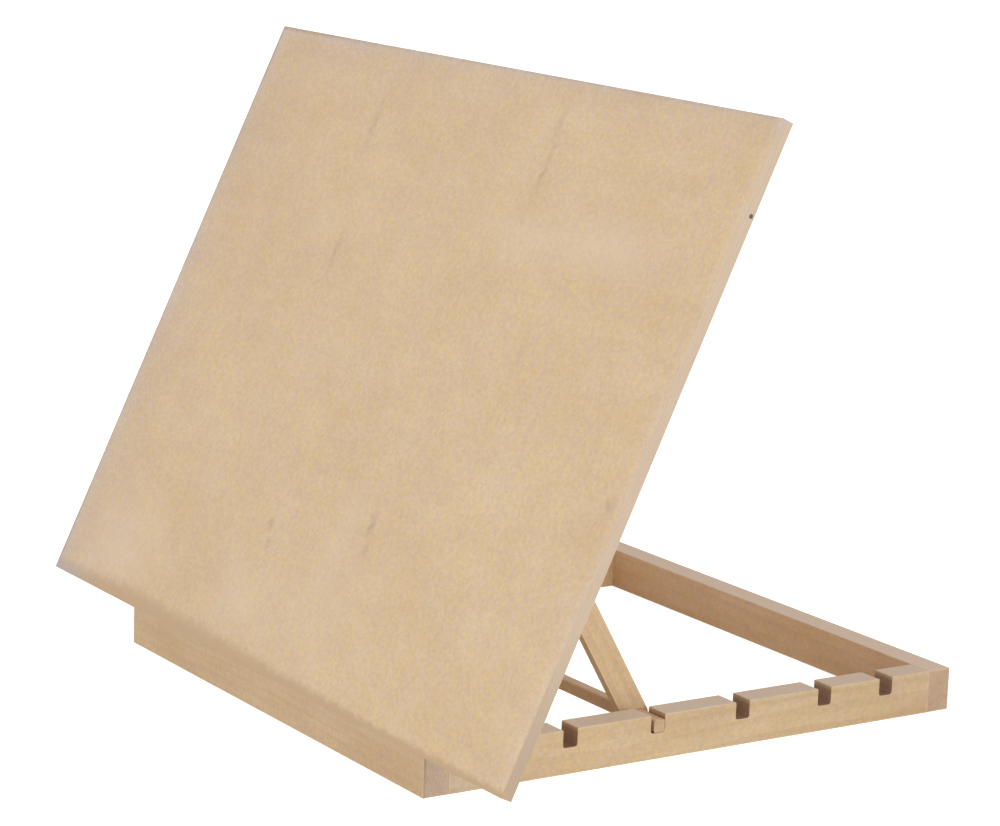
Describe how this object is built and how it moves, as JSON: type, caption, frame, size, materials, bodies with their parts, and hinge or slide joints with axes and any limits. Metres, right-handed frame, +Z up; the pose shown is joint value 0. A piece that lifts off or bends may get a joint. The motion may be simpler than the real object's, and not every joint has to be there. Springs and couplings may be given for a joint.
{
  "type": "tabletop artist easel",
  "caption": "Tabletop wooden easel: a plywood drawing board hinged to a low notched base and held at an angle by a folding prop with a cross bar.",
  "frame": {"origin": "middle of the whole easel's footprint, on the surface that it stands on", "axes": "+X along the board's width towards the artist's right, +Y to the back, +Z up"},
  "size_m": [0.65, 0.4708, 0.4618],
  "materials": {
    "birch_plywood": "sanded, unvarnished pale veneer with layered edges",
    "pine": "planed, unvarnished softwood",
    "beech_dowel": "plain turned hardwood",
    "plated_steel": "zinc plated, slightly dull",
    "bright_steel": "bright zinc plated"
  },
  "bodies": {
    "base": {"dowel_front_left_lower": "beech_dowel", "dowel_front_left_upper": "beech_dowel", "dowel_front_right_lower": "beech_dowel", "dowel_front_right_upper": "beech_dowel", "dowel_rear_left_lower": "beech_dowel", "dowel_rear_left_upper": "beech_dowel", "dowel_rear_right_lower": "beech_dowel", "dowel_rear_right_upper": "beech_dowel", "front_rail": "pine", "hinge_left_pin": "bright_steel", "hinge_left_rail_leaf": "plated_steel", "hinge_left_rail_screw_a": "bright_steel", "hinge_left_rail_screw_b": "bright_steel", "hinge_right_pin": "bright_steel", "hinge_right_rail_leaf": "plated_steel", "hinge_right_rail_screw_a": "bright_steel", "hinge_right_rail_screw_b": "bright_steel", "left_rail": "pine", "rear_rail": "pine", "right_rail": "pine"},
    "board": {"drawing_board": "birch_plywood", "hinge_left_board_leaf": "plated_steel", "hinge_left_board_screw_a": "bright_steel", "hinge_left_board_screw_b": "bright_steel", "hinge_right_board_leaf": "plated_steel", "hinge_right_board_screw_a": "bright_steel", "hinge_right_board_screw_b": "bright_steel", "left_cleat": "pine", "left_cleat_screw_lower": "bright_steel", "left_cleat_screw_upper": "bright_steel", "left_inner_washer": "plated_steel", "left_outer_washer": "plated_steel", "left_pivot_screw": "bright_steel", "right_cleat": "pine", "right_cleat_screw_lower": "bright_steel", "right_cleat_screw_upper": "bright_steel", "right_inner_washer": "plated_steel", "right_outer_washer": "plated_steel", "right_pivot_screw": "bright_steel"},
    "prop": {"cross_bar": "pine", "left_strut": "pine", "left_strut_brad": "bright_steel", "right_strut": "pine", "right_strut_brad": "bright_steel"}
  },
  "joints": [
    {"name": "board_tilt", "type": "hinge", "parent": "base", "child": "board", "pos_m": [0, -0.22507, 0.0332], "axis": [1, 0, 0], "range_deg": [0, 25]},
    {"name": "prop_swing", "type": "hinge", "parent": "board", "child": "prop", "pos_m": [0, -0.13442, 0.20276], "axis": [1, 0, 0], "range_deg": [0, 124.5]}
  ]
}
